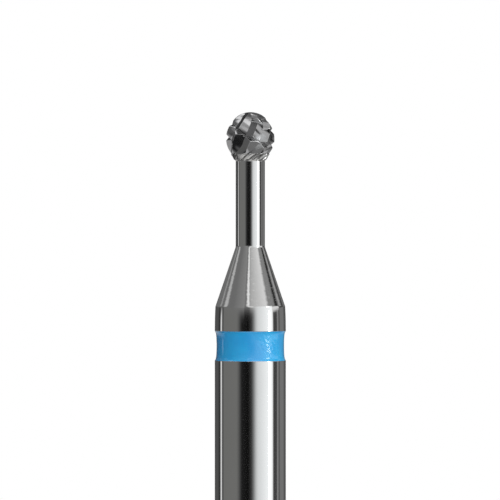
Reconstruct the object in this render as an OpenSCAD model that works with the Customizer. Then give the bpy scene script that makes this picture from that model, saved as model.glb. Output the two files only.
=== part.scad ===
// Rotary nail bit: a fluted ball head on a slim neck, a cone, a coloured ring and a plain shank.
// Millimetres. Z runs along the shank; the origin is the centre of the shank's flat end.

/* [Overall] */
// Length from the flat end of the shank to the tip of the ball
total_l = 44.5; // [40:0.5:50]

/* [Shank] */
// Diameter of the plain shank that a handpiece grips
shank_d = 2.35; // [2.32:0.01:3.2]
// Chamfer round the flat end of the shank
end_chamfer = 0.25; // [0.1:0.05:0.5]

/* [Colour ring] */
// Height of the groove, and of the enamel that fills it
ring_h = 0.97; // [0.6:0.01:1.6]
// Depth of the groove below the shank's surface
groove_depth = 0.2; // [0.16:0.01:0.4]
// How far the middle of the ring's hollow face lies below the shank's surface
ring_hollow = 0.06; // [0.02:0.01:0.08]

/* [Collar and cone] */
// Height of the collar between the ring and the cone
collar_h = 0.82; // [0.4:0.02:1.6]
// How much the collar narrows, on the diameter, from the ring up to the cone
collar_taper = 0.045; // [0:0.005:0.15]
// Slope of the cone's side, measured from the axis
cone_angle = 18.8; // [12:0.2:30]

/* [Neck] */
// Diameter of the neck
neck_d = 0.966; // [0.7:0.002:1.1]
// Length of the neck from the cone to the head
neck_l = 2.84; // [1.5:0.02:6]

/* [Cutting head] */
// Diameter of the ball over its cutting edges
head_d = 1.6; // [1.4:0.1:2.3]
// Straight stretch round the ball's middle
head_waist = 0.09; // [0:0.01:0.4]
// Slope of the ball's back down to the neck, measured from the axis
back_angle = 33; // [25:1:45]
// Number of blades
blade_count = 8; // [6:1:12]
// Depth of the flutes at the ball's middle
flute_depth = 0.115; // [0.06:0.005:0.16]
// Lean of the blades at the ball's middle, measured from the axis
helix_angle = 26; // [0:1:35]
// How far across a flute its deepest line lies, as a share from the left-hand edge
valley_share = 0.57; // [0.4:0.01:0.7]

/* [Chip breakers] */
// Distance along the blade from one notch to the next
notch_pitch = 0.46; // [0.4:0.01:0.7]
// Depth of the notches below the cutting edges
notch_depth = 0.12; // [0.06:0.01:0.16]
// Opening angle of the notches
notch_angle = 86; // [50:2:100]
// Slope of the notches, which fall towards the right
notch_lean = 20; // [0:1:35]

/* [Hidden] */

$fn = 96;

shank_r = shank_d / 2;
collar_top_r = (shank_d - collar_taper) / 2;
neck_r = neck_d / 2;
head_r = head_d / 2;
groove_r = shank_r - groove_depth;

// Heights along the axis, worked down from the tip
tip_z = total_l;
upper_centre_z = tip_z - head_r;
lower_centre_z = upper_centre_z - head_waist;
back_drop = (head_r - neck_r * cos(back_angle)) / sin(back_angle);
head_base_z = lower_centre_z - back_drop;
cone_top_z = head_base_z - neck_l;
cone_base_z = cone_top_z - (collar_top_r - neck_r) / tan(cone_angle);
ring_top_z = cone_base_z - collar_h;
ring_base_z = ring_top_z - ring_h;

// Share of the collar's narrowing that is even; the rest comes in towards the cone
even_share = 0.2;
collar_steps = 6;

// Blades: the angle of the first one at the ball's middle, and how fast they wind with height
blade_pitch = 360 / blade_count;
first_blade = -87;
twist_per_mm = tan(helix_angle) / head_r * 180 / PI;
// Near the tip a flute takes at most this share of the ball's radius there
tip_flute_share = 0.19;
// Below the middle the floor of a flute comes in by this much for each millimetre
floor_slope = 0.12;
// Where a flute runs out, its deepest line comes no nearer to that edge than this share
least_share = 0.1;
// Steps down the ball: degrees of latitude on the round part, and slices on the sloping back
latitude_step = 4;
top_latitude = 84;
back_slices = 8;
// Points on the two sides of each flute
right_points = 2;
left_points = 3;
// Notches of each blade, from the first one round: notch pitches above the ball's middle
notch_places = [
    [-0.01, 1.43],
    [-0.46, 0.54, 1.46],
    [-0.43, 0.58],
    [0.1, 1.1],
    [-0.4, 0.6],
    [0.2, 1.2],
    [0.11, 1.15],
    [0.5]];
// Notches end at this latitude, and each reaches this share of the blade pitch either way
top_notch_latitude = 50;
notch_reach = 0.5;

// Share of the enamel's hollow that is a shallow dish, and steps from its middle to each lip
dish_share = 0.4;
face_steps = 10;

function blade_angle(k, z) = first_blade + k * blade_pitch + (z - lower_centre_z) * twist_per_mm;

// Outline of the ball as [z, r], from the neck up to the small flat at the tip
function head_outline() = concat(
    [for (i = [0 : back_slices - 1])
        let (t = i / back_slices)
        [head_base_z + t * (lower_centre_z - head_r * sin(back_angle) - head_base_z),
         neck_r + t * (head_r * cos(back_angle) - neck_r)]],
    [for (a = [-back_angle : latitude_step : -latitude_step / 2])
        [lower_centre_z + head_r * sin(a), head_r * cos(a)]],
    [for (a = [0 : latitude_step : top_latitude])
        [upper_centre_z + head_r * sin(a), head_r * cos(a)]]);

// Depth of the flutes where the outline has radius r: they run out on the back and thin at the tip
function flute_depth_at(z, r) = z < lower_centre_z
    ? max(0, min(flute_depth, r - (head_r - flute_depth) + floor_slope * (lower_centre_z - z)))
    : min(flute_depth, r * tip_flute_share);

// Radius at angle a of the straight line between the polar points [r1, a1] and [r2, a2]
function chord_r(r1, a1, r2, a2, a) = r1 * r2 * sin(a2 - a1) / (r1 * sin(a - a1) + r2 * sin(a2 - a));

// Points of the line from [r1, a1] up to, not including, [r2, a2], as [angle, r]; at a flatness of
// 0 it is round about the axis, at 1 it is straight
function side(r1, a1, r2, a2, count, flatness) =
    [for (i = [0 : count - 1])
        let (
            t = i / count,
            a = a1 + t * (a2 - a1),
            round_r = r1 + t * (r2 - r1))
        [a, round_r + flatness * (chord_r(r1, a1, r2, a2, a) - round_r)]];

// One flute as [angle, r], from one blade's edge to the next: a flat side down, then a flat side up
function flute_section(r, depth) =
    let (
        flatness = depth / flute_depth,
        valley = blade_pitch * max(least_share, valley_share * pow(flatness, 0.7)))
    concat(
        side(r, 0, r - depth, valley, right_points, flatness),
        side(r - depth, valley, r, blade_pitch, left_points, flatness));

// Cross-section of the whole ball at height z as [x, y, z] points
function head_ring(z, r) =
    [for (k = [0 : blade_count - 1])
        for (p = flute_section(r, flute_depth_at(z, r)))
            let (a = blade_angle(k, z) + p[0])
            [p[1] * cos(a), p[1] * sin(a), z]];

// Fluted ball lofted through its cross-sections, closed by the flat base and a point at the tip
module fluted_ball() {
    outline = head_outline();
    levels = len(outline);
    n = blade_count * (right_points + left_points);
    tip = levels * n;
    points = concat(
        [for (level = outline) each head_ring(level[0], level[1])],
        [[0, 0, tip_z]]);
    faces = concat(
        [[for (j = [0 : n - 1]) j]],
        [for (i = [0 : levels - 2])
            for (j = [0 : n - 1])
                let (next = (j + 1) % n)
                each [[i * n + j, (i + 1) * n + j, (i + 1) * n + next],
                      [i * n + j, (i + 1) * n + next, i * n + next]]],
        [for (j = [0 : n - 1]) [(levels - 1) * n + j, tip, (levels - 1) * n + (j + 1) % n]]);
    polyhedron(points, faces);
}

// V-shaped notch of even depth, ground across the edge of blade k at distance m above the middle
module notch(k, m) {
    centre_z = lower_centre_z + max(0, min(m, head_waist));
    latitude = (m - (centre_z - lower_centre_z)) / head_r * 180 / PI;
    z = centre_z + head_r * sin(latitude);
    reach = blade_pitch * notch_reach * cos(latitude);
    outer_r = head_r + notch_depth;
    half_mouth = 2 * notch_depth * tan(notch_angle / 2);
    if (latitude < top_notch_latitude)
        translate([0, 0, centre_z])
            rotate([0, 0, blade_angle(k, z)])
                rotate([0, -latitude, 0])
                    rotate([-notch_lean, 0, 0])
                        rotate([0, 0, -reach])
                            rotate_extrude(angle = 2 * reach, $fn = 64)
                                polygon([[head_r - notch_depth, 0], [outer_r, -half_mouth],
                                         [outer_r, half_mouth]]);
}

// Carbide ball with its blades and chip breakers
module cutting_head() {
    color([0.47, 0.47, 0.48])
        difference() {
            fluted_ball();
            for (k = [0 : blade_count - 1])
                for (place = notch_places[k % len(notch_places)])
                    notch(k, place * notch_pitch);
        }
}

// Radius of the collar at t, from 0 at the ring to 1 at the cone: it rounds in towards the cone
function collar_r(t) = shank_r - (shank_r - collar_top_r) * (even_share * t + (1 - even_share) * pow(t, 3));

// Steel shank, collar, cone and neck, turned in one piece
module shank() {
    color([0.66, 0.67, 0.68])
        rotate_extrude()
            polygon(concat(
                [[0, 0], [shank_r - end_chamfer, 0], [shank_r, end_chamfer],
                 [shank_r, ring_base_z], [groove_r, ring_base_z], [groove_r, ring_top_z]],
                [for (i = [0 : collar_steps])
                    let (t = i / collar_steps)
                    [collar_r(t), ring_top_z + t * collar_h]],
                [[neck_r, cone_top_z], [neck_r, head_base_z], [0, head_base_z]]));
}

// Radius of the enamel's face at t, from -1 at the lower lip to 1 at the upper one: a shallow dish
// that climbs steeply to both lips
function enamel_r(t) = shank_r - ring_hollow * (1 - dish_share * pow(t, 2) - (1 - dish_share) * pow(t, 10));

// Enamel ring that fills the groove, with a hollow outer face
module colour_ring() {
    color([0.16, 0.55, 0.85])
        rotate_extrude()
            polygon(concat(
                [[groove_r, ring_top_z], [groove_r, ring_base_z]],
                [for (i = [-face_steps : face_steps])
                    let (t = sign(i) * sqrt(abs(i) / face_steps))
                    [enamel_r(t), ring_base_z + ring_h * (1 + t) / 2]]));
}

shank();
colour_ring();
cutting_head();
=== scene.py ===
"""Looks of a ball nail bit: fine surfaces, finishes, studio and camera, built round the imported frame.

Lengths are millimetres in the dataclasses and metres in the meshes. Z runs along the shank from its
flat end; azimuth 0 faces the camera (-Y) and grows towards +X.
"""

import logging
import math
from dataclasses import dataclass
from enum import Enum

import bpy
import numpy as np
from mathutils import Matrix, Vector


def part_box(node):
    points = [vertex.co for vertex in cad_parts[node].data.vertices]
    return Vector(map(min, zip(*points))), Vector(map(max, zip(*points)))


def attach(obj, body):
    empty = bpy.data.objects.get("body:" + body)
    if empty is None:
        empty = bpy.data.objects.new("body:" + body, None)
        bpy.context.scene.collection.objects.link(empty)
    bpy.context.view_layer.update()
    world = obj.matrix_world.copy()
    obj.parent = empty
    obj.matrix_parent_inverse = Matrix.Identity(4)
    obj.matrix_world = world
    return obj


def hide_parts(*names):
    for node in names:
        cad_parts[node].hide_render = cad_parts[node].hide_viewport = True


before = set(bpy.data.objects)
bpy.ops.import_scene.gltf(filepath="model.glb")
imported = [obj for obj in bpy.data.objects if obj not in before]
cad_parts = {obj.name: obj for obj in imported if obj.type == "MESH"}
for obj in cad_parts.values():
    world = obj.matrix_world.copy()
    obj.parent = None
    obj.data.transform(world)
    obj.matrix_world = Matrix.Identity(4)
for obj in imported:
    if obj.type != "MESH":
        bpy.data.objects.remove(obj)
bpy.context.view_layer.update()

BODY = "root"
MM = 0.001

log = logging.getLogger("nail_bit")


def span(node: str, axis: int) -> tuple[float, float]:
    """Lowest and highest place of a CAD node along an axis (0 for X, 2 for Z), in millimetres."""
    return tuple(float(corner[axis]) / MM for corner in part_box(node))


# Sizes in millimetres, as the solids have them
GROOVE_DEPTH = 0.2
COLLAR_HEIGHT = 0.82
NECK_LENGTH = 2.84
NECK_RADIUS = 0.483

# Places in millimetres, read from the frame or worked out from it
SHANK_RADIUS = span("shank", 0)[1]
GROOVE_RADIUS = SHANK_RADIUS - GROOVE_DEPTH
RING_BOTTOM, RING_TOP = span("colour_ring", 2)
HEAD_BASE, TIP = span("cutting_head", 2)
CONE_BOTTOM = RING_TOP + COLLAR_HEIGHT
CONE_TOP = HEAD_BASE - NECK_LENGTH


class Slot(Enum):
    """Material slots of the record."""

    STEEL = "ground_steel"
    ENAMEL = "blue_enamel"
    CARBIDE = "carbide"


def srgb(level: float) -> float:
    """Linear value of a display level from 0 to 255.

    Args:
        level: the brightness as a screen shows it.

    Returns:
        The same brightness as light, from 0 to 1.
    """
    share = level / 255.0
    return share / 12.92 if share <= 0.04045 else ((share + 0.055) / 1.055) ** 2.4


def shade(colour: tuple[float, float, float], amount: float) -> tuple[float, float, float]:
    """The colour with each of its parts times the amount."""
    return tuple(amount * part for part in colour)


def smooth_rise(x: np.ndarray, low: float, high: float) -> np.ndarray:
    """Eased step: 0 below low, 1 above high, and 3t^2 - 2t^3 between them.

    Args:
        x: the values to ease.
        low: where the step starts.
        high: where the step ends.

    Returns:
        The eased values.
    """
    t = np.clip((x - low) / (high - low), 0.0, 1.0)
    return t * t * (3.0 - 2.0 * t)


def grid_faces(rows: int, columns: int) -> np.ndarray:
    """Quads of a grid that closes round its columns, facing outwards when columns run with azimuth.

    Args:
        rows: number of rings, from the bottom up.
        columns: points in each ring.

    Returns:
        An array of four vertex numbers a face.
    """
    row = np.arange(rows - 1)[:, None] * columns
    here = np.arange(columns)[None, :]
    there = (here + 1) % columns
    quads = np.stack([row + here, row + there, row + columns + there, row + columns + here], axis=-1)
    return quads.reshape(-1, 4)


def make_mesh(name: str, points: np.ndarray, faces: list) -> bpy.types.Object:
    """Puts points and faces into a new mesh object at the origin, shaded smooth.

    Args:
        name: the piece's name.
        points: vertex places in millimetres, one row each.
        faces: vertex numbers of each face.

    Returns:
        The new object.
    """
    mesh = bpy.data.meshes.new(name)
    mesh.from_pydata((points * MM).tolist(), [], faces)
    mesh.polygons.foreach_set("use_smooth", np.full(len(mesh.polygons), True))
    mesh.update()
    piece = bpy.data.objects.new(name, mesh)
    bpy.context.scene.collection.objects.link(piece)
    return piece


def close_grid(name: str, rings: np.ndarray, bottom: float, top: float) -> bpy.types.Object:
    """Closed surface from rings of points, with a centre point at each end.

    Args:
        name: the piece's name.
        rings: an array (rows, columns, 3) in millimetres, from the bottom up.
        bottom: height of the lower centre point.
        top: height of the upper centre point.

    Returns:
        The piece.
    """
    rows, columns = rings.shape[:2]
    here = np.arange(columns)
    there = (here + 1) % columns
    last = (rows - 1) * columns
    low, high = rows * columns, rows * columns + 1
    faces = grid_faces(rows, columns).tolist()
    faces += np.stack([there, here, np.full(columns, low)], axis=1).tolist()
    faces += np.stack([last + here, last + there, np.full(columns, high)], axis=1).tolist()
    ends = np.array([[0.0, 0.0, bottom], [0.0, 0.0, top]])
    return make_mesh(name, np.concatenate([rings.reshape(-1, 3), ends]), faces)


def add_values(piece: bpy.types.Object, name: str, values: np.ndarray) -> None:
    """Stores one number a vertex, which a finish reads by its name.

    Args:
        piece: the mesh object.
        name: the attribute's name.
        values: numbers in vertex order; missing ones at the end are 0.
    """
    data = np.zeros(len(piece.data.vertices))
    data[:values.size] = values.ravel()
    piece.data.attributes.new(name, "FLOAT", "POINT").data.foreach_set("value", data)


def polar_rings(radius: np.ndarray, azimuth: np.ndarray, height: np.ndarray) -> np.ndarray:
    """Points (r sin a, -r cos a, z) of rings given in polar form.

    Args:
        radius: an array (rows, columns).
        azimuth: radians, of the same shape or one row.
        height: one number a row.

    Returns:
        An array (rows, columns, 3).
    """
    azimuth = np.broadcast_to(azimuth, radius.shape)
    level = np.broadcast_to(height[:, None], radius.shape)
    return np.stack([radius * np.sin(azimuth), -radius * np.cos(azimuth), level], axis=-1)


@dataclass(frozen=True)
class Wave:
    """Size, number of waves round a turn, change with height in radians a millimetre, and shift."""

    size: float
    turns: float
    rise: float = 0.0
    shift: float = 0.0


def add_waves(waves: tuple[Wave, ...], azimuth: np.ndarray, height: np.ndarray | float) -> np.ndarray:
    """Sum of waves, each one size * sin(turns * azimuth + rise * height + shift).

    Args:
        waves: the waves.
        azimuth: radians.
        height: millimetres.

    Returns:
        The sum at each place.
    """
    return sum(wave.size * np.sin(wave.turns * azimuth + wave.rise * height + wave.shift)
               for wave in waves)


class Shader:
    """A small builder of node trees, so that a finish reads as a list of steps."""

    def __init__(self, tree: bpy.types.NodeTree) -> None:
        """Empties the tree and keeps it.

        Args:
            tree: the material's or world's node tree.
        """
        self.tree = tree
        tree.nodes.clear()

    def add(self, kind: str, **settings: object) -> bpy.types.Node:
        """New node with its settings and input values.

        Args:
            kind: the node's type, such as ShaderNodeMath.
            **settings: attributes of the node; one that names no attribute sets or feeds the input of
                that name, with _ for a space.

        Returns:
            The node.
        """
        node = self.tree.nodes.new(kind)
        inputs = {}
        for name, value in settings.items():
            if hasattr(node, name) and name not in ("inputs", "outputs"):
                setattr(node, name, value)
            else:
                inputs[name.replace("_", " ")] = value
        for name, value in inputs.items():
            self.feed(node, name, value)
        return node

    def feed(self, node: bpy.types.Node, name: str | int, value: object) -> None:
        """Sets an input to a number or colour, or links an output to it.

        Args:
            node: the node whose input is set.
            name: the input's name or number.
            value: a plain value or an output socket.
        """
        socket = node.inputs[name]
        if isinstance(value, bpy.types.NodeSocket):
            self.tree.links.new(value, socket)
        else:
            socket.default_value = value

    def math(self, operation: str, *values: object) -> bpy.types.NodeSocket:
        """Result of a Math node.

        Args:
            operation: the node's operation, such as MULTIPLY.
            *values: its inputs in order, plain or linked.

        Returns:
            The output socket.
        """
        node = self.tree.nodes.new("ShaderNodeMath")
        node.operation = operation
        for number, value in enumerate(values):
            self.feed(node, number, value)
        return node.outputs[0]

    def mix(self, factor: object, first: object, second: object) -> bpy.types.NodeSocket:
        """Colour between two colours.

        Args:
            factor: 0 gives the first colour and 1 the second.
            first: a colour or socket.
            second: a colour or socket.

        Returns:
            The output socket.
        """
        node = self.tree.nodes.new("ShaderNodeMix")
        node.data_type = "RGBA"
        self.feed(node, 0, factor)
        self.feed(node, 6, first)
        self.feed(node, 7, second)
        return node.outputs[2]

    def ramp(self, factor: object, low: float, first: tuple[float, float, float],
             high: float, second: tuple[float, float, float]) -> bpy.types.NodeSocket:
        """Colour that runs evenly from a first one at low to a second one at high.

        Args:
            factor: what drives the ramp, from 0 to 1.
            low: where the first colour ends.
            first: the first colour.
            high: where the second colour begins.
            second: the second colour.

        Returns:
            The colour output.
        """
        node = self.tree.nodes.new("ShaderNodeValToRGB")
        for element, place, colour in zip(node.color_ramp.elements, (low, high), (first, second)):
            element.position = place
            element.color = (*colour, 1.0)
        self.feed(node, 0, factor)
        return node.outputs[0]

    def ease(self, value: object, low: float, high: float) -> bpy.types.NodeSocket:
        """Eased step from 0 at low to 1 at high; high may be the smaller one.

        Args:
            value: the socket to ease.
            low: where the result is 0.
            high: where the result is 1.

        Returns:
            The output socket.
        """
        node = self.add("ShaderNodeMapRange", interpolation_type="SMOOTHSTEP", Value=value,
                        From_Min=low, From_Max=high)
        return node.outputs[0]

    def band(self, value: object, low: float, high: float, low_blur: float,
             high_blur: float) -> bpy.types.NodeSocket:
        """Mask that is 1 from low to high and eases to 0 at both ends.

        Args:
            value: the socket that is compared.
            low: the middle of the lower end.
            high: the middle of the upper end.
            low_blur: width of the lower eased end.
            high_blur: width of the upper eased end.

        Returns:
            The mask's socket.
        """
        rise = self.ease(value, low - low_blur / 2, low + low_blur / 2)
        fall = self.ease(value, high + high_blur / 2, high - high_blur / 2)
        return self.math("MULTIPLY", rise, fall)

    def noise(self, place: object, scale: tuple[float, float, float],
              detail: float = 2.0) -> bpy.types.NodeSocket:
        """Noise whose grain has its own size along each axis.

        Args:
            place: a position socket.
            scale: grains a metre along X, Y and Z.
            detail: octaves of finer grain.

        Returns:
            The noise, from 0 to 1.
        """
        stretch = self.add("ShaderNodeMapping", Vector=place)
        self.feed(stretch, "Scale", scale)
        grain = self.add("ShaderNodeTexNoise", Vector=stretch.outputs[0], Scale=1.0, Detail=detail)
        return grain.outputs[0]

    def surface(self, label: str, **settings: object) -> None:
        """Principled surface joined to the material's output.

        Args:
            label: a name for the surface.
            **settings: its inputs.
        """
        node = self.add("ShaderNodeBsdfPrincipled", label=label, **settings)
        self.feed(self.add("ShaderNodeOutputMaterial"), "Surface", node.outputs[0])


def new_material(slot: Slot) -> tuple[bpy.types.Material, Shader]:
    """Empty material and its builder.

    Args:
        slot: the record's slot, which names the material.

    Returns:
        The material and the builder of its nodes.
    """
    material = bpy.data.materials.new(slot.value)
    material.use_nodes = True
    return material, Shader(material.node_tree)


@dataclass(frozen=True)
class Card:
    """A card, lamp or flag of the studio as the metal sees it: a soft-edged patch of light.

    Azimuths and heights are degrees: azimuth 0 is the camera's side, positive to its right. The level
    is a display level from 0 to 255, which runs evenly from the left side to the right one.
    """

    name: str
    left: float
    right: float
    level: float
    right_level: float = 0.0
    bottom: float = -100.0
    top: float = 100.0
    left_blur: float = 6.0
    right_blur: float = 6.0
    bottom_blur: float = 14.0
    top_blur: float = 14.0
    tint: tuple[float, float, float] = (1.0, 1.0, 1.0)


# Belts by height: the upright shank and neck mirror the REAR and THIN ones, the cone the CONE one
LOW = {"top": -12.0, "top_blur": 14.0}
MIDDLE = {"bottom": -18.0, "top": 5.0, "bottom_blur": 18.0, "top_blur": 8.0}
REAR = {"bottom": -4.8, "top": 5.0, "bottom_blur": 1.8, "top_blur": 8.0}
THIN = {"bottom": -4.4, "top": 3.4, "bottom_blur": 1.0, "top_blur": 1.6}
HIGH = {"bottom": 5.0, "top": 58.0, "bottom_blur": 8.0, "top_blur": 18.0}
CONE = {"bottom": 13.0, "top": 50.0, "bottom_blur": 6.0, "top_blur": 12.0}


@dataclass
class Studio:
    """White studio with cards and flags round the bit, and a small pale floor under it.

    The cards stand in belts: low ones on the ground, middle, rear and thin ones at the bit's own
    height, and high ones with those for the cone among them. Each card covers those before it.
    """

    room_level: float = 118.0
    cards: tuple[Card, ...] = (
        Card("right ground", -5, 100, 134, 146, **LOW, left_blur=10, right_blur=20),
        Card("rear ground", 98, 180, 178, 160, **LOW, left_blur=20, right_blur=0.1),
        Card("rear ground in shade", 102, 152, 80, top=-25, top_blur=8, left_blur=14, right_blur=10),
        Card("left ground", -180, -102, 185, 192, top=-6.5, top_blur=3, left_blur=0.1, right_blur=12),
        Card("rear left ground in shade", -152, -108, 60, top=-25, top_blur=6, left_blur=10),
        Card("left ground in shade", -98, -55, 108, **LOW),
        Card("camera's shade", -46, -10, 32, **LOW, left_blur=16, right_blur=16),
        Card("deep shade", -80, -14, 36, top=-38, top_blur=8, left_blur=20, right_blur=20),
        Card("lamp near the ground", -100, 100, 215, top=-56, top_blur=5, left_blur=16, right_blur=16),
        Card("right flag near the ground", 90, 120, 20, bottom=-52, top=-35, bottom_blur=6, top_blur=6,
             left_blur=8, right_blur=8),
        Card("ceiling", -180, 180, 112, 112, bottom=5, bottom_blur=8),
        Card("zenith", -180, 180, 160, 160, bottom=70, bottom_blur=16),
        Card("flag over the camera", -80, -8, 92, bottom=62, bottom_blur=10, left_blur=12, right_blur=12),
        Card("high rear left flag", -180, -138, 62, bottom=17, top=44, bottom_blur=5),
        Card("high rear left strip", -124, -117, 158, **CONE, left_blur=8),
        Card("high left strip", -102, -88, 184, **CONE, left_blur=8, right_blur=8),
        Card("high left wall", -62, -20, 114, 136, **HIGH, left_blur=12),
        Card("top left lamp", -172, -78, 290, bottom=46, top=69, bottom_blur=10, top_blur=4),
        Card("overhead strip", -13, -3, 240, bottom=28, top=58, left_blur=7, right_blur=9),
        Card("high softbox", -1, 66, 172, 226, **HIGH, left_blur=8, right_blur=16),
        Card("strip under the high softbox", -8, 10, 225, bottom=14, top=29, bottom_blur=5, top_blur=4),
        Card("high right wall", 70, 94, 132, **HIGH),
        Card("top softbox", 6, 54, 300, 270, bottom=43, top=66, bottom_blur=5, left_blur=12, right_blur=16),
        Card("top right lamp", 62, 98, 205, bottom=50, top=66, bottom_blur=6, left_blur=12, right_blur=12),
        Card("high right flag", 98, 110, 30, bottom=20, top=50, bottom_blur=4, top_blur=12,
             left_blur=8, right_blur=8),
        Card("high right strip", 116, 126, 162, **CONE),
        Card("high rear flag", 132, 142, 58, **HIGH),
        Card("right rear flag", 111, 130, 40, bottom=4.5, top=12, bottom_blur=2, top_blur=4),
        Card("rear wall", 140, 180, 84, **REAR, left_blur=16),
        Card("left rear wall", -180, -128, 80, **REAR),
        Card("left flag", -128, -98, 56, **REAR, right_blur=10),
        Card("left strip lamp", -112.8, -105, 235, 205, bottom=-5, top=2.5, left_blur=4, right_blur=4,
             bottom_blur=2, top_blur=5),
        Card("left grey wall", -96, -38, 112, 114, **MIDDLE, left_blur=10, right_blur=20,
             tint=(1.0, 1.0, 0.97)),
        Card("camera's side", -20, 16, 55, **MIDDLE, right_blur=10),
        Card("camera flag", -37, -2, 36, 5, bottom=-18, top=4, bottom_blur=18, top_blur=8,
             left_blur=22, right_blur=14),
        Card("key softbox", 14.5, 79.5, 212, 274, bottom=-13, top=24, bottom_blur=8, top_blur=8,
             left_blur=26, right_blur=4, tint=(0.975, 1.0, 1.01)),
        Card("skirt of the key softbox", 4, 48, 132, 150, bottom=-26, top=-5.4, bottom_blur=10,
             top_blur=1.5, right_blur=16),
        Card("lamp in the key softbox", 62.5, 66, 680, left_blur=2, right_blur=2, **THIN),
        Card("right bounce card", 76, 109, 220, bottom=-16, top=18.5, bottom_blur=10, top_blur=3),
        Card("lamp over the key softbox", 58, 65, 640, bottom=14, top=21, bottom_blur=4, top_blur=4),
        Card("right flag", 79.8, 98, 68, left_blur=4, right_blur=3, **THIN),
        Card("right strip", 98, 103, 102, **THIN),
        Card("right dark strip", 103, 112, 84, **THIN),
    )
    fill_levels: tuple[float, float, float] = (0.37, 0.39, 0.47)
    key_levels: tuple[float, float, float] = (1.30, 1.27, 1.10)
    least_level: float = 0.12
    key_azimuth: float = 42.0
    key_height: float = 30.0
    floor_radius: float = 60.0
    floor_points: int = 96
    floor_fade: tuple[float, float] = (0.35, 0.95)
    floor_colour: tuple[float, float, float] = (0.80, 0.80, 0.80)

    def build(self) -> None:
        """Makes the world and the floor."""
        self.build_world()
        self.build_floor()

    def lay_card(self, shader: Shader, card: Card, azimuth: object, height: object,
                 under: object) -> bpy.types.NodeSocket:
        """Lays a card over the light behind it.

        Args:
            shader: the world's builder.
            card: the card.
            azimuth: socket of the direction's azimuth in degrees.
            height: socket of its height in degrees.
            under: the colour behind the card.

        Returns:
            The colour with the card.
        """
        sides = shader.band(azimuth, card.left, card.right, card.left_blur, card.right_blur)
        ends = shader.band(height, card.bottom, card.top, card.bottom_blur, card.top_blur)
        start, end = (tuple(srgb(level) * part for part in card.tint) + (1.0,)
                      for level in (card.level, card.right_level or card.level))
        across = shader.add("ShaderNodeMapRange", Value=azimuth, From_Min=card.left, From_Max=card.right)
        light = shader.mix(across.outputs[0], start, end)
        return shader.mix(shader.math("MULTIPLY", sides, ends), under, light)

    def build_world(self) -> None:
        """World: white for the camera, the studio for gloss, and a soft key and fill for the rest."""
        world = bpy.data.worlds.new("studio")
        world.use_nodes = True
        bpy.context.scene.world = world
        shader = Shader(world.node_tree)
        direction = shader.add("ShaderNodeTexCoord").outputs["Generated"]
        parts = shader.add("ShaderNodeSeparateXYZ", Vector=direction).outputs
        back = shader.math("MULTIPLY", parts[1], -1.0)
        azimuth = shader.math("DEGREES", shader.math("ARCTAN2", parts[0], back))
        height = shader.math("DEGREES", shader.math("ARCSINE", parts[2]))

        gloss = (srgb(self.room_level),) * 3 + (1.0,)
        for card in self.cards:
            gloss = self.lay_card(shader, card, azimuth, height, gloss)

        turn, rise = math.radians(self.key_azimuth), math.radians(self.key_height)
        key = (math.cos(rise) * math.sin(turn), -math.cos(rise) * math.cos(turn), math.sin(rise))
        towards = shader.add("ShaderNodeVectorMath", operation="DOT_PRODUCT")
        shader.feed(towards, 0, direction)
        shader.feed(towards, 1, key)
        levels = (shader.math("MULTIPLY_ADD", towards.outputs["Value"], key_part, fill_part)
                  for key_part, fill_part in zip(self.key_levels, self.fill_levels))
        levels = (shader.math("MAXIMUM", level, self.least_level) for level in levels)
        plain = shader.add("ShaderNodeCombineXYZ", **dict(zip("XYZ", levels))).outputs[0]

        path = shader.add("ShaderNodeLightPath").outputs
        lit = shader.mix(path["Is Glossy Ray"], plain, gloss)
        seen = shader.math("MAXIMUM", path["Is Camera Ray"], path["Is Transmission Ray"])
        white = shader.mix(seen, lit, (1.0, 1.0, 1.0, 1.0))
        background = shader.add("ShaderNodeBackground", Color=white, Strength=1.0)
        shader.feed(shader.add("ShaderNodeOutputWorld"), "Surface", background.outputs[0])

    def build_floor(self) -> None:
        """Round pale floor whose rim fades out, so that only the bit's shadow shows on white."""
        angle = np.linspace(0.0, 2.0 * np.pi, self.floor_points, endpoint=False)
        rim = np.stack([self.floor_radius * np.sin(angle), self.floor_radius * np.cos(angle),
                        np.zeros(self.floor_points)], axis=1)
        floor = make_mesh("floor", rim, [list(range(self.floor_points))[::-1]])
        floor.visible_glossy = False
        material = bpy.data.materials.new("pale_floor")
        material.use_nodes = True
        shader = Shader(material.node_tree)
        place = shader.add("ShaderNodeTexCoord").outputs["Object"]
        reach = shader.add("ShaderNodeVectorMath", operation="LENGTH")
        shader.feed(reach, 0, place)
        fade_start, fade_end = (self.floor_radius * MM * share for share in self.floor_fade)
        fade = shader.ease(reach.outputs["Value"], fade_start, fade_end)
        pale = shader.add("ShaderNodeBsdfDiffuse", Color=(*self.floor_colour, 1.0))
        clear = shader.add("ShaderNodeBsdfTransparent")
        both = shader.add("ShaderNodeMixShader")
        shader.feed(both, 0, fade)
        shader.feed(both, 1, pale.outputs[0])
        shader.feed(both, 2, clear.outputs[0])
        shader.feed(shader.add("ShaderNodeOutputMaterial"), "Surface", both.outputs[0])
        floor.data.materials.append(material)


@dataclass
class Camera:
    """Long lens, level with the neck and square to the shank, framed as the photograph is."""

    frame_width: float = 16.54
    centre_height: float = 39.94
    centre_side: float = -0.01
    lens: float = 300.0
    sensor: float = 36.0
    nearest: float = 5.0
    farthest: float = 10000.0

    def build(self) -> None:
        """Makes the camera and gives it to the scene."""
        data = bpy.data.cameras.new("camera")
        data.lens = self.lens
        data.sensor_width = self.sensor
        data.clip_start = self.nearest * MM
        data.clip_end = self.farthest * MM
        distance = self.frame_width * self.lens / self.sensor
        camera = bpy.data.objects.new("camera", data)
        camera.location = (self.centre_side * MM, -distance * MM, self.centre_height * MM)
        camera.rotation_euler = (math.pi / 2, 0.0, 0.0)
        bpy.context.scene.collection.objects.link(camera)
        bpy.context.scene.camera = camera


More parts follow.
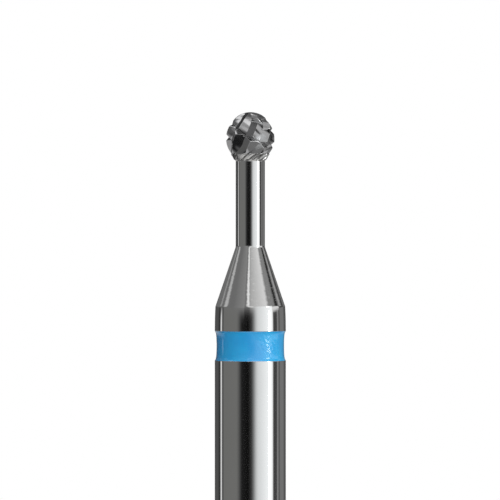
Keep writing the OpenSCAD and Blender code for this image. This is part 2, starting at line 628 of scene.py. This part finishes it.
@dataclass(frozen=True)
class GroundSteel:
    """Cylindrically ground steel: bright, with hair-fine marks that run round the axis.

    The cone keeps coarser turning marks than the plain parts. Grains are counted a metre along X, Y
    and Z, and a relief is the height of a mark in metres.
    """

    colour: tuple[float, float, float] = (0.87, 0.87, 0.865)
    cloud_shade: float = 0.97
    cloud_grains: tuple[float, float, float] = (900.0, 900.0, 500.0)
    roughness: float = 0.045
    mark_grains: tuple[float, float, float] = (600.0, 600.0, 60000.0)
    mark_depth: float = 0.08
    mark_relief: float = 2e-6
    turned_grains: tuple[float, float, float] = (5000.0, 5000.0, 15000.0)
    turned_depth: float = 0.7
    turned_relief: float = 6e-6
    turned_roughness: float = 0.03
    turned_from: float = CONE_BOTTOM + 0.012
    turned_to: float = CONE_TOP - 0.015
    turned_blur: float = 0.06

    def material(self) -> bpy.types.Material:
        """Clouded bright metal, with fine marks all over and coarser ones on the cone.

        Returns:
            The material.
        """
        material, shader = new_material(Slot.STEEL)
        place = shader.add("ShaderNodeTexCoord").outputs["Object"]
        height = shader.add("ShaderNodeSeparateXYZ", Vector=place).outputs[2]
        marks = shader.noise(place, self.mark_grains, detail=3.0)
        ground = shader.add("ShaderNodeBump", Strength=self.mark_depth, Distance=self.mark_relief,
                            Height=marks)
        blur = self.turned_blur * MM
        turned = shader.band(height, self.turned_from * MM, self.turned_to * MM, blur, blur)
        feed = shader.noise(place, self.turned_grains)
        depth = shader.math("MULTIPLY", turned, self.turned_depth)
        rings = shader.add("ShaderNodeBump", Distance=self.turned_relief, Strength=depth, Height=feed,
                           Normal=ground.outputs[0])
        cloud = shader.noise(place, self.cloud_grains, detail=3.0)
        tone = shader.ramp(cloud, 0.3, shade(self.colour, self.cloud_shade), 0.7, self.colour)
        haze = shader.math("MULTIPLY_ADD", turned, self.turned_roughness, self.roughness)
        shader.surface("steel", Base_Color=tone, Metallic=1.0, Roughness=haze, Normal=rings.outputs[0])
        return material


@dataclass(frozen=True)
class GroundCarbide:
    """Ground tungsten carbide: grey metal with a fine grain, wheel lines along the flutes and a
    painted highlight where the facets meet, which gives the edges a paler colour.

    It reads the attributes edge (1 at an edge), across (place across the flutes) and run_out (1 on
    the back below the flutes). Grains are counted a metre, and a relief is a height in metres.
    """

    colour: tuple[float, float, float] = (0.50, 0.50, 0.505)
    spot_shades: tuple[float, float] = (0.93, 1.05)
    # Painted highlight: the edges get this paler colour in place of the carbide's own
    edge_highlight_colour: tuple[float, float, float] = (0.62, 0.62, 0.62)
    back_colour: tuple[float, float, float] = (0.66, 0.655, 0.64)
    roughness: float = 0.10
    facet_roughness: float = 0.03
    grains: tuple[float, float, float] = (42000.0, 42000.0, 42000.0)
    grain_depth: float = 0.5
    grain_relief: float = 1e-6
    lines_across: float = 14.0
    lines_up: float = 2500.0
    line_depth: float = 0.6
    line_relief: float = 8e-7

    def material(self) -> bpy.types.Material:
        """Grained grey metal with wheel lines, a paler back and a painted highlight on the edges.

        Returns:
            The material.
        """
        material, shader = new_material(Slot.CARBIDE)
        place = shader.add("ShaderNodeTexCoord").outputs["Object"]
        edge = shader.add("ShaderNodeAttribute", attribute_name="edge").outputs["Fac"]
        across = shader.add("ShaderNodeAttribute", attribute_name="across").outputs["Fac"]
        run_out = shader.add("ShaderNodeAttribute", attribute_name="run_out").outputs["Fac"]
        grain = shader.noise(place, self.grains, detail=3.0)
        height = shader.add("ShaderNodeSeparateXYZ", Vector=place).outputs[2]
        lay = shader.add("ShaderNodeCombineXYZ", X=shader.math("MULTIPLY", across, self.lines_across),
                         Y=shader.math("MULTIPLY", height, self.lines_up), Z=0.0)
        lines = shader.add("ShaderNodeTexNoise", Vector=lay.outputs[0], Scale=1.0, Detail=2.0)
        wheel = shader.add("ShaderNodeBump", Strength=self.line_depth, Distance=self.line_relief,
                           Height=lines.outputs[0])
        rough = shader.add("ShaderNodeBump", Strength=self.grain_depth, Distance=self.grain_relief,
                           Height=grain, Normal=wheel.outputs[0])
        dark, light = (shade(self.colour, amount) for amount in self.spot_shades)
        spots = shader.ramp(grain, 0.3, dark, 0.7, light)
        tone = shader.mix(run_out, spots, (*self.back_colour, 1.0))
        # Painted highlight: the edge mask blends the paler edge colour over the carbide
        tone = shader.mix(edge, tone, (*self.edge_highlight_colour, 1.0))
        flat = shader.math("SUBTRACT", 1.0, edge)
        haze = shader.math("MULTIPLY_ADD", flat, self.facet_roughness, self.roughness)
        shader.surface("carbide", Base_Color=tone, Metallic=1.0, Roughness=haze, Normal=rough.outputs[0])
        return material


@dataclass(frozen=True)
class RingEnamel:
    """Glossy blue enamel: softly clouded colour under a clear coat with very shallow pits.

    Grains are counted a metre, and a relief is a height in metres.
    """

    colour: tuple[float, float, float] = (srgb(26), srgb(169), srgb(230))
    deep_colour: tuple[float, float, float] = (srgb(20), srgb(156), srgb(224))
    cloud_grains: tuple[float, float, float] = (1400.0, 1400.0, 1400.0)
    roughness: float = 0.35
    coat_ior: float = 1.62
    coat_roughness: float = 0.04
    pit_grains: tuple[float, float, float] = (9000.0, 9000.0, 9000.0)
    pit_depth: float = 0.05
    pit_relief: float = 1e-5

    def material(self) -> bpy.types.Material:
        """Clouded blue under a clear, faintly pitted coat.

        Returns:
            The material.
        """
        material, shader = new_material(Slot.ENAMEL)
        place = shader.add("ShaderNodeTexCoord").outputs["Object"]
        cloud = shader.noise(place, self.cloud_grains)
        tone = shader.ramp(cloud, 0.3, self.deep_colour, 0.6, self.colour)
        pits = shader.noise(place, self.pit_grains, detail=1.0)
        skin = shader.add("ShaderNodeBump", Strength=self.pit_depth, Distance=self.pit_relief,
                          Height=pits)
        shader.surface("enamel", Base_Color=tone, Roughness=self.roughness, Coat_Weight=1.0,
                       Coat_Roughness=self.coat_roughness, Coat_IOR=self.coat_ior,
                       Coat_Normal=skin.outputs[0])
        return material


@dataclass
class Shank:
    """Shank, collar, cone and neck, turned in one piece, with small radii at every corner."""

    radius: float = SHANK_RADIUS
    end_chamfer: float = 0.25
    ring_bottom: float = RING_BOTTOM
    ring_top: float = RING_TOP
    groove_radius: float = GROOVE_RADIUS
    collar_top_radius: float = 1.1525
    even_share: float = 0.2
    cone_bottom: float = CONE_BOTTOM
    cone_top: float = CONE_TOP
    neck_radius: float = NECK_RADIUS
    top: float = HEAD_BASE
    end_corner: float = 0.02
    lip_corner: float = 0.012
    cone_corner: float = 0.03
    neck_corner: float = 0.04
    guard_share: float = 0.3
    face_guard: float = 0.1
    top_guard: float = 0.02
    collar_steps: int = 12
    corner_steps: int = 5
    columns: int = 256

    def collar(self) -> list[tuple[float, float, float]]:
        """Collar's rows between its ends: it rounds in by 0.2t + 0.8t^3 of its narrowing.

        Returns:
            Rows of (radius, height, corner size), with no corners.
        """
        t = np.linspace(0.0, 1.0, self.collar_steps + 1)[1:-1]
        narrowing = self.radius - self.collar_top_radius
        cuts = narrowing * (self.even_share * t + (1.0 - self.even_share) * t ** 3)
        heights = self.ring_top + t * (self.cone_bottom - self.ring_top)
        return [(self.radius - cut, height, 0.0) for cut, height in zip(cuts, heights)]

    def corners(self) -> list[tuple[float, float, float]]:
        """Outline before its corners are rounded, from the end face to the neck's top.

        Returns:
            Rows of (radius, height, corner size).
        """
        return [
            (self.radius - self.end_chamfer - self.face_guard, 0.0, 0.0),
            (self.radius - self.end_chamfer, 0.0, self.end_corner),
            (self.radius, self.end_chamfer, self.end_corner),
            (self.radius, self.ring_bottom, self.lip_corner),
            (self.groove_radius, self.ring_bottom, 0.0),
            (self.groove_radius, self.ring_top, 0.0),
            (self.radius, self.ring_top, self.lip_corner),
            *self.collar(),
            (self.collar_top_radius, self.cone_bottom, self.cone_corner),
            (self.neck_radius, self.cone_top, self.neck_corner),
            (self.neck_radius, self.top - self.top_guard, 0.0),
            (self.neck_radius, self.top, 0.0)]

    def profile(self) -> np.ndarray:
        """Outline with each corner rounded by a short curve, and a guard row on both sides of it.

        A corner c is replaced by the curve (1-t)^2 a + 2t(1-t) c + t^2 b between points a and b on
        its two sides, and the guard rows keep smooth shading flat right up to the curve.

        Returns:
            Rows of (radius, height) in millimetres.
        """
        rows = self.corners()
        outline = []
        for number, (radius, height, reach) in enumerate(rows):
            corner = np.array([radius, height])
            if reach == 0.0 or number in (0, len(rows) - 1):
                outline.append(corner)
                continue
            before, after = (np.array(rows[number + step][:2]) - corner for step in (-1, 1))
            before /= np.linalg.norm(before)
            after /= np.linalg.norm(after)
            start, end = corner + reach * before, corner + reach * after
            outline.append(start + self.guard_share * reach * before)
            for t in np.linspace(0.0, 1.0, self.corner_steps + 1):
                outline.append((1 - t) ** 2 * start + 2 * t * (1 - t) * corner + t ** 2 * end)
            outline.append(end + self.guard_share * reach * after)
        return np.array(outline)

    def build(self) -> bpy.types.Object:
        """Turned surface: the profile carried round the axis.

        Returns:
            The piece.
        """
        outline = self.profile()
        azimuth = np.linspace(0.0, 2.0 * np.pi, self.columns, endpoint=False)
        radius = np.repeat(outline[:, :1], self.columns, axis=1)
        rings = polar_rings(radius, azimuth, outline[:, 1])
        return close_grid("fine_shank", rings, 0.0, self.top)

    def dress(self) -> None:
        """Builds the piece, gives it its finish and puts it in the CAD shank's place."""
        piece = self.build()
        piece.data.materials.append(GroundSteel().material())
        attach(piece, BODY)
        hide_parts("shank")
        log.info("shank: %d faces", len(piece.data.polygons))


@dataclass
class ColourRing:
    """Enamel in its groove: a hollow face with raised lips, nearly even all round, with small waves
    at the seam where the coat begins and ends.
    """

    radius: float = SHANK_RADIUS
    groove_radius: float = GROOVE_RADIUS
    bottom: float = RING_BOTTOM
    height: float = RING_TOP - RING_BOTTOM
    hollow: float = 0.06
    dish_share: float = 0.4
    wave_size: float = 0.0006
    waves: tuple[Wave, ...] = (Wave(1.0, 9, 7), Wave(0.8, 14, -11, 1.0), Wave(0.6, 5, 16, 2.1))
    seam_wave_size: float = 0.0011
    seam_waves: tuple[Wave, ...] = (
        Wave(1.0, 38, 21), Wave(0.9, 29, -34, 1.3), Wave(0.8, 52, 13, 0.6), Wave(0.6, 21, 47, 2.0))
    seam_azimuth: float = 31.0
    seam_width: float = 22.0
    seam_core: float = 5.5
    rows: int = 128
    columns: int = 640

    def build(self) -> bpy.types.Object:
        """Closed ring whose face is r = R - hollow (1 - 0.4 t^2 - 0.6 t^10) with t from -1 to 1.

        Waves are added to it, which fade out towards the lips by 1 - t^4; shorter ones lie round the
        seam only.

        Returns:
            The piece.
        """
        t = np.sin(np.linspace(-np.pi / 2, np.pi / 2, self.rows))
        heights = self.bottom + self.height * (1.0 + t) / 2.0
        lips = self.dish_share * t ** 2 + (1.0 - self.dish_share) * t ** 10
        face = self.radius - self.hollow * (1.0 - lips)
        azimuth = np.linspace(0.0, 2.0 * np.pi, self.columns, endpoint=False)
        a, z = np.meshgrid(azimuth, heights)
        off_seam = (a - math.radians(self.seam_azimuth) + np.pi) % (2.0 * np.pi) - np.pi
        seam = 1.0 - smooth_rise(np.degrees(np.abs(off_seam)), self.seam_core, self.seam_width)
        rises = self.wave_size * add_waves(self.waves, a, z)
        rises += self.seam_wave_size * seam * add_waves(self.seam_waves, a, z)
        radius = face[:, None] + rises * (1.0 - t[:, None] ** 4)
        inner = np.full((1, self.columns), self.groove_radius)
        radius = np.concatenate([inner, radius, inner])
        heights = np.concatenate([heights[:1], heights, heights[-1:]])
        rings = polar_rings(radius, azimuth, heights)
        faces = grid_faces(len(heights), self.columns).tolist()
        here = np.arange(self.columns)
        there = (here + 1) % self.columns
        last = (len(heights) - 1) * self.columns
        faces += np.stack([last + here, last + there, there, here], axis=1).tolist()
        return make_mesh("fine_ring", rings.reshape(-1, 3), faces)

    def dress(self) -> None:
        """Builds the piece, gives it its finish and puts it in the CAD ring's place."""
        piece = self.build()
        piece.data.materials.append(RingEnamel().material())
        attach(piece, BODY)
        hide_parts("colour_ring")
        log.info("colour ring: %d faces", len(piece.data.polygons))


@dataclass
class CuttingHead:
    """Carbide ball: eight blades between flutes with two flat sides, crossed by V-shaped notches."""

    base: float = HEAD_BASE
    tip: float = TIP
    radius: float = 0.8
    waist: float = 0.09
    back_angle: float = 33.0
    top_latitude: float = 87.5
    neck_radius: float = NECK_RADIUS
    blades: int = 8
    first_blade: float = 3.0
    helix_angle: float = 26.0
    flute_depth: float = 0.115
    valley_share: float = 0.57
    valley_power: float = 0.7
    least_share: float = 0.1
    tip_flute_share: float = 0.19
    floor_slope: float = 0.12
    notch_pitch: float = 0.46
    notch_depth: float = 0.12
    notch_angle: float = 86.0
    notch_lean: float = 20.0
    notch_places: tuple[tuple[float, ...], ...] = (
        (-0.01, 1.43), (-0.46, 0.54, 1.46), (-0.43, 0.58), (0.1, 1.1), (-0.4, 0.6), (0.2, 1.2),
        (0.11, 1.15), (0.5,))
    top_notch_latitude: float = 50.0
    least_wall_slope: float = 0.05
    nick_size: float = 0.018
    nick_lean: float = 121.0
    nick_centre: float = 0.205
    nick_start: tuple[float, float] = (0.005, 0.055)
    nick_end: tuple[float, float] = (0.185, 0.255)
    nick_waves: tuple[Wave, ...] = (
        Wave(1.0, 16, shift=1.1 + math.pi / 2), Wave(0.7, 11, shift=0.4 + math.pi / 2),
        Wave(0.5, 29, shift=2.0 + math.pi / 2))
    run_out: tuple[float, float] = (0.195, 0.245)
    edge_step: int = 2
    edge_height: tuple[float, float] = (0.0025, 0.008)
    rows: int = 270
    columns: int = 42

    @property
    def lower_centre(self) -> float:
        """Height of the lower half's centre."""
        return self.tip - self.radius - self.waist

    def outline(self) -> tuple[np.ndarray, np.ndarray]:
        """Rows up the ball's outline, evenly spaced along it.

        Returns:
            Height and radius of each row.
        """
        slope = math.radians(self.back_angle)
        arc_below = self.radius * slope
        back = (self.radius * math.cos(slope) - self.neck_radius) / math.sin(slope)
        arc_above = self.radius * math.radians(self.top_latitude)
        along = np.linspace(-arc_below - back, self.waist + arc_above, self.rows)
        below = np.clip(along, -arc_below, 0.0) / self.radius
        straight = np.clip(along, 0.0, self.waist)
        above = np.clip(along - self.waist, 0.0, None) / self.radius
        down = np.clip(-arc_below - along, 0.0, None)
        round_height = self.radius * (np.sin(below) + np.sin(above))
        height = self.lower_centre + straight + round_height - down * math.cos(slope)
        return height, self.radius * np.cos(below + above) - down * math.sin(slope)

    def depth(self, height: np.ndarray, radius: np.ndarray) -> np.ndarray:
        """Depth of the flutes: even round the middle, thinning at the tip, running out on the back.

        Args:
            height: height of each row.
            radius: radius of each row.

        Returns:
            The depth of each row.
        """
        floor = self.radius - self.flute_depth - self.floor_slope * (self.lower_centre - height)
        low = np.clip(radius - floor, 0.0, self.flute_depth)
        high = np.minimum(self.flute_depth, radius * self.tip_flute_share)
        return np.where(height < self.lower_centre, low, high)

    def flute(self, radius: np.ndarray, depth: np.ndarray) -> tuple[np.ndarray, np.ndarray, np.ndarray]:
        """One flute from edge to edge: two sides that meet in its deepest line.

        A straight side between the polar points (r1, a1) and (r2, a2) has the radius
        r1 r2 sin(a2 - a1) / (r1 sin(a - a1) + r2 sin(a2 - a)) at angle a. Where the flute is shallow
        its sides grow rounder and its deepest line moves towards the first edge.

        Args:
            radius: radius of each row.
            depth: flute depth of each row.

        Returns:
            Angle from the first edge in degrees, radius, and place across (0 to 2), as rows and columns.
        """
        pitch = 360.0 / self.blades
        flatness = (depth / self.flute_depth)[:, None]
        share = np.maximum(self.least_share, self.valley_share * flatness ** self.valley_power)
        places = np.arange(self.columns) / (self.columns // 2)
        place, valley = np.broadcast_arrays(places, share * pitch)
        edge = np.broadcast_to(radius[:, None], place.shape)
        deep = edge - depth[:, None]
        first = place < 1.0
        start, end = np.where(first, 0.0, valley), np.where(first, valley, pitch)
        inner, outer = np.where(first, edge, deep), np.where(first, deep, edge)
        step = place % 1.0
        angle = start + step * (end - start)

        whole, done, left = (np.sin(np.radians(part)) for part in (end - start, angle - start, end - angle))
        straight = inner * outer * whole / (inner * done + outer * left)
        even = inner + step * (outer - inner)
        return angle, even + flatness * (straight - even), place

    def notch(self, points: np.ndarray, blade: int, place: float) -> np.ndarray:
        """Cuts one V-shaped notch by drawing the points outside its walls in towards its centre.

        The notch follows a great circle that leans away from its blade. In a direction whose sine off
        that circle is q, the walls lie (R - depth) / (sqrt(1 - q^2) - |q| / tan(half its opening))
        from the centre.

        Args:
            points: the surface, rows and columns of points.
            blade: number of the notch's blade.
            place: notch pitches above the ball's middle.

        Returns:
            The surface with the notch.
        """
        along = place * self.notch_pitch
        centre = self.lower_centre + min(max(along, 0.0), self.waist)
        latitude = (along - (centre - self.lower_centre)) / self.radius
        if latitude > math.radians(self.top_notch_latitude):
            return points
        turn = self.blade_azimuth(blade, centre + self.radius * math.sin(latitude))
        lean = math.radians(self.notch_lean)
        out = np.array([np.sin(turn), -np.cos(turn), 0.0])
        right = np.array([np.cos(turn), np.sin(turn), 0.0])
        up = np.array([0.0, 0.0, 1.0])
        ahead = math.cos(latitude) * out + math.sin(latitude) * up
        steep = math.cos(latitude) * up - math.sin(latitude) * out
        off_axis = math.cos(lean) * steep + math.sin(lean) * right
        path = math.cos(lean) * right - math.sin(lean) * steep

        origin = np.array([0.0, 0.0, centre])
        arm = points - origin
        distance = np.linalg.norm(arm, axis=-1)
        off = np.abs(arm @ off_axis) / distance
        reach = 180.0 / self.blades * math.cos(latitude)
        within = np.degrees(np.abs(np.arctan2(arm @ path, arm @ ahead))) <= reach
        slope = np.sqrt(1.0 - off ** 2) - off / math.tan(math.radians(self.notch_angle / 2))
        wall = (self.radius - self.notch_depth) / np.maximum(slope, self.least_wall_slope)
        cut = within & (slope > self.least_wall_slope)
        share = np.where(cut, np.minimum(1.0, wall / distance), 1.0)
        return origin + arm * share[..., None]

    def blade_azimuth(self, blade: int, height: float | np.ndarray) -> float | np.ndarray:
        """Azimuth of a blade's edge in radians.

        Args:
            blade: the blade's number, from the front one to the right.
            height: where along the axis.

        Returns:
            The azimuth there.
        """
        first = math.radians(self.first_blade + blade * 360.0 / self.blades)
        twist = math.tan(math.radians(self.helix_angle)) / self.radius
        return first + twist * (height - self.lower_centre)

    def nicks(self, azimuth: np.ndarray, height: np.ndarray) -> np.ndarray:
        """Slanted nicks where the flutes run out: waves along lines that lean with height, which
        ease in above the head's base and out again higher up the back.

        Args:
            azimuth: radians, rows and columns.
            height: height of each row.

        Returns:
            What they add to the radius, rows and columns.
        """
        up = height - self.base
        line = azimuth - math.radians(self.nick_lean) * (up[:, None] - self.nick_centre)
        window = smooth_rise(up, *self.nick_start) * (1.0 - smooth_rise(up, *self.nick_end))
        return self.nick_size * window[:, None] * add_waves(self.nick_waves, line, 0.0)

    def build(self) -> bpy.types.Object:
        """Whole ball: flutes side by side, nicked where they run out, then notched.

        Returns:
            The piece.
        """
        height, radius = self.outline()
        depth = self.depth(height, radius)
        angle, side, place = self.flute(radius, depth)
        azimuth = np.concatenate([self.blade_azimuth(blade, height)[:, None] + np.radians(angle)
                                  for blade in range(self.blades)], axis=1)
        r = np.tile(side, (1, self.blades)) + self.nicks(azimuth, height)
        points = polar_rings(r, azimuth, height)
        for blade, places in enumerate(self.notch_places):
            for notch_place in places:
                points = self.notch(points, blade, notch_place)
        piece = close_grid("fine_head", points, height[0], self.tip)
        self.crease(piece)
        self.mark(piece, points, place)
        return piece

    def crease(self, piece: bpy.types.Object) -> None:
        """Marks the blades' edges and the flutes' deepest lines as sharp, so the sides look flat.

        Args:
            piece: the head's object.
        """
        ends = np.zeros(2 * len(piece.data.edges), dtype=int)
        piece.data.edges.foreach_get("vertices", ends)
        ends = ends.reshape(-1, 2)
        column = ends % (self.blades * self.columns)
        along = (column[:, 0] == column[:, 1]) & (column[:, 0] % (self.columns // 2) == 0)
        grid = (ends < self.rows * self.blades * self.columns).all(axis=1)
        sharp = piece.data.attributes.new("sharp_edge", "BOOLEAN", "EDGE")
        sharp.data.foreach_set("value", along & grid)

    def mark(self, piece: bpy.types.Object, points: np.ndarray, place: np.ndarray) -> None:
        """Stores what the finish reads: edges, place across the flutes, and the run-out on the back.

        An edge is where the surface is sharply convex: it stands further from the ball's centre than
        the mean of its neighbours.

        Args:
            piece: the head's object.
            points: the surface, rows and columns of points.
            place: place across one flute.
        """
        step = self.edge_step
        r = np.linalg.norm(points - np.array([0.0, 0.0, self.lower_centre]), axis=-1)
        across = r - 0.5 * (np.roll(r, step, axis=1) + np.roll(r, -step, axis=1))
        down = r - 0.5 * (np.roll(r, step, axis=0) + np.roll(r, -step, axis=0))
        down[:step], down[-step:] = 0.0, 0.0
        add_values(piece, "edge", smooth_rise(np.maximum(across, down), *self.edge_height))
        add_values(piece, "across", np.tile(place, (1, self.blades)))
        add_values(piece, "run_out", 1.0 - smooth_rise(points[..., 2] - self.base, *self.run_out))

    def dress(self) -> None:
        """Builds the piece, gives it its finish and puts it in the CAD head's place."""
        piece = self.build()
        piece.data.materials.append(GroundCarbide().material())
        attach(piece, BODY)
        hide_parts("cutting_head")
        log.info("cutting head: %d faces", len(piece.data.polygons))


def main() -> None:
    """Builds the camera, the studio and the bit, and reports each piece."""
    logging.basicConfig(level=logging.INFO, format="%(message)s")
    bpy.context.scene.view_settings.view_transform = "Standard"
    Camera().build()
    Studio().build()
    Shank().dress()
    ColourRing().dress()
    CuttingHead().dress()


if __name__ == "__main__":
    main()
